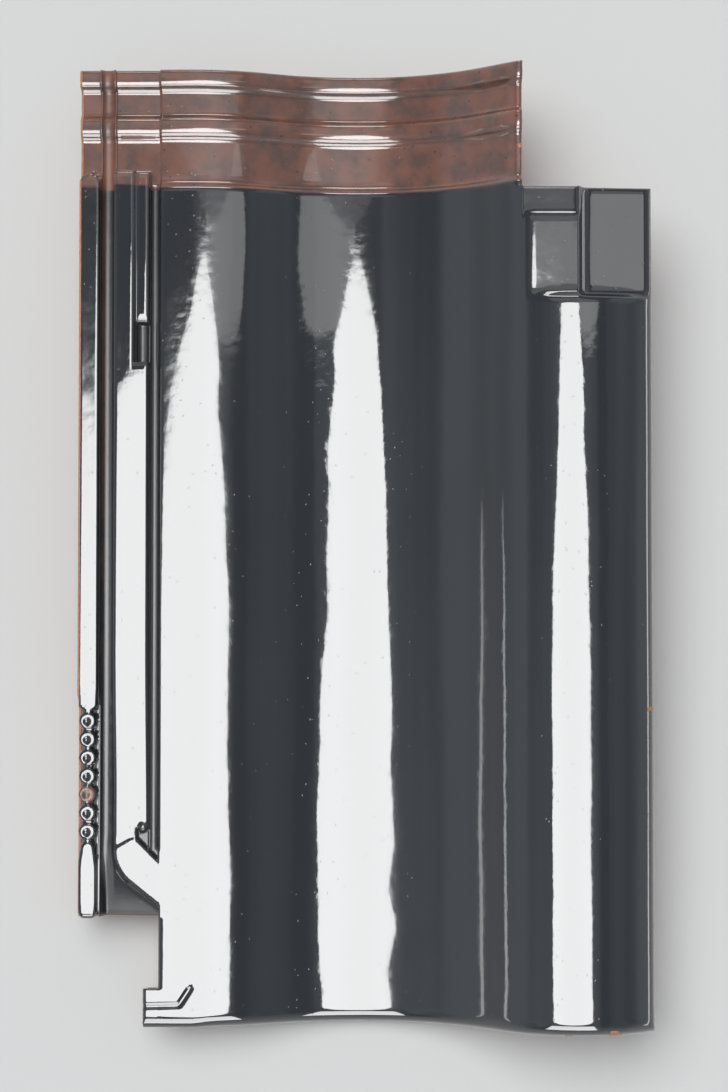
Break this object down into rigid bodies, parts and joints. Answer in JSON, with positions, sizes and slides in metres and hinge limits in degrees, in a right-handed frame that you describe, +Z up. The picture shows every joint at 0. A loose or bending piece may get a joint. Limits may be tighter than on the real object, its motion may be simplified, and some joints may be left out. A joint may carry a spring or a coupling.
{
  "type": "interlocking clay roof tile",
  "caption": "Interlocking clay roof tile of S-shaped section, with a wide pan, a roll with an overlapping flap, a ribbed side lock, a ribbed head and two nibs",
  "frame": {"origin": "middle of the tile's footprint, at floor level", "axes": "+X across the tile towards the roll and its flap, +Y from the foot edge to the head, +Z up"},
  "size_m": [0.262, 0.4414, 0.064],
  "materials": {
    "glazed_clay": "glossy black glaze over fired red clay, thin and brown at the head, bare clay underneath"
  },
  "bodies": {
    "root": {"roof_tile": "glazed_clay"}
  },
  "joints": []
}
